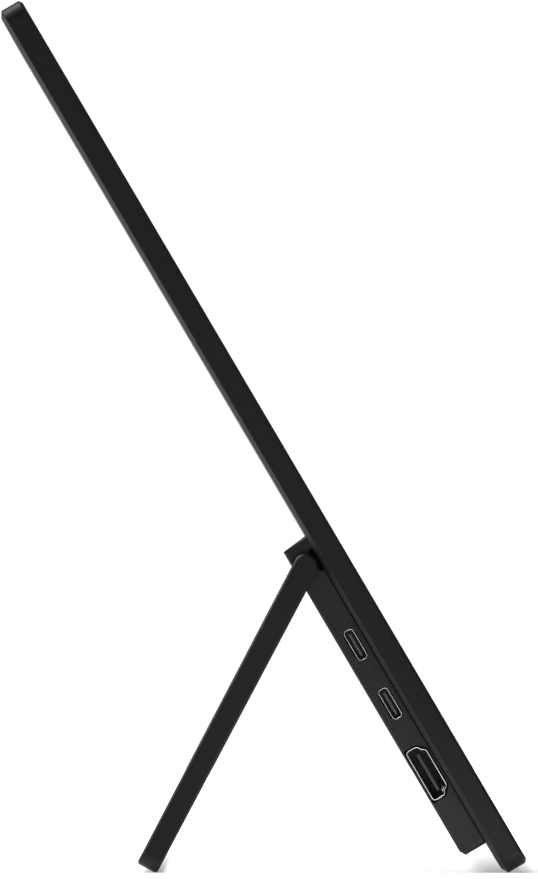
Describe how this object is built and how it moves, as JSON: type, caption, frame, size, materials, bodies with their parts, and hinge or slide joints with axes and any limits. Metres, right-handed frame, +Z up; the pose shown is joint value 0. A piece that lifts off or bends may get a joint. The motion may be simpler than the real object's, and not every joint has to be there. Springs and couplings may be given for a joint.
{
  "type": "portable monitor",
  "caption": "Thin flat monitor that leans back on a fold-out bail stand, with a shallow box on its back that holds sockets, keys and a headphone jack.",
  "frame": {"origin": "centre of the bounding box's bottom, on the table, with the stand open as pictured", "axes": "+Z up, +X to the viewer's right along the screen's width, +Y away from the viewer; screen faces -Y"},
  "size_m": [0.422, 0.1376, 0.2287],
  "materials": {
    "case_black": "matte black",
    "bezel_black": "fine matte",
    "screen_glass": "anti-glare, switched off",
    "film_white": "satin",
    "guide_clear": "clear",
    "reflector_white": "white",
    "plate_metal": "plain sheet",
    "frame_white": "moulded",
    "strip_white": "plain",
    "lamp_yellow": "clear lacquer",
    "foam_black": "foam",
    "board_green": "solder mask",
    "chip_black": "moulded",
    "flex_amber": "film",
    "cable_white": "film",
    "lead_red": "insulation",
    "socket_cream": "moulded",
    "cover_black": "fine moulded grain",
    "standoff_brass": "turned",
    "screw_steel": "plated",
    "pad_grey": "soft",
    "can_steel": "tinned",
    "component_grey": "ferrite and ceramic",
    "socket_steel": "plated",
    "tongue_black": "moulded",
    "contact_gold": "gold plated",
    "jack_black": "moulded",
    "switch_black": "moulded",
    "key_black": "fine matte",
    "speaker_black": "moulded",
    "magnet_iron": "plated",
    "cone_paper": "pressed",
    "bracket_black": "blackened",
    "shaft_steel": "turned",
    "bail_black": "matte black"
  },
  "bodies": {
    "monitor": {"rear_tray": "case_black", "front_bezel": "bezel_black", "lcd_cell": "screen_glass", "optical_films": "film_white", "light_guide": "guide_clear", "reflector_sheet": "reflector_white", "panel_back_plate": "plate_metal", "panel_frame": "frame_white", "led_bar": "strip_white", "led_packages": "lamp_yellow", "panel_tape": "foam_black", "timing_board": "board_green", "main_board": "board_green", "side_board": "board_green", "timing_chips": "chip_black", "scaler_chip": "chip_black", "panel_flexes": "flex_amber", "display_cable": "cable_white", "key_cable": "cable_white", "speaker_leads": "lead_red", "cable_sockets": "socket_cream", "box_cover": "cover_black", "board_standoffs": "standoff_brass", "board_screws": "screw_steel", "cover_screws": "screw_steel", "hinge_screws": "screw_steel", "heat_pad": "pad_grey", "shield_can": "can_steel", "board_components": "component_grey", "data_socket_shell_upper": "socket_steel", "data_socket_shell_lower": "socket_steel", "video_socket_shell": "socket_steel", "data_socket_tongue_upper": "tongue_black", "data_socket_tongue_lower": "tongue_black", "video_socket_tongue": "tongue_black", "data_socket_contacts": "contact_gold", "video_socket_contacts": "contact_gold", "headphone_jack": "jack_black", "key_switches": "switch_black", "speaker_frame_left": "speaker_black", "speaker_frame_right": "speaker_black", "speaker_magnet_left": "magnet_iron", "speaker_magnet_right": "magnet_iron", "speaker_cone_left": "cone_paper", "speaker_cone_right": "cone_paper", "hinge_bracket_left": "bracket_black", "hinge_bracket_right": "bracket_black"},
    "stand": {"stand_bail": "bail_black", "hinge_shaft_left": "shaft_steel", "hinge_shaft_right": "shaft_steel", "hinge_washers": "shaft_steel", "hinge_nuts": "shaft_steel"},
    "power_key": {"power_key": "key_black"},
    "plus_key": {"plus_key": "key_black"},
    "minus_key": {"minus_key": "key_black"}
  },
  "joints": [
    {"name": "stand_hinge", "type": "hinge", "parent": "monitor", "child": "stand", "pos_m": [0, -0.01107, 0.08047], "axis": [1, 0, 0], "range_deg": [-58.23, 31.77]},
    {"name": "power_key_press", "type": "slide", "parent": "monitor", "child": "power_key", "axis": [-1, 0, 0], "range_m": [0, 0.0004], "stiffness_N_per_m": 1500},
    {"name": "plus_key_press", "type": "slide", "parent": "monitor", "child": "plus_key", "axis": [-1, 0, 0], "range_m": [0, 0.0004], "stiffness_N_per_m": 1500},
    {"name": "minus_key_press", "type": "slide", "parent": "monitor", "child": "minus_key", "axis": [-1, 0, 0], "range_m": [0, 0.0004], "stiffness_N_per_m": 1500}
  ]
}
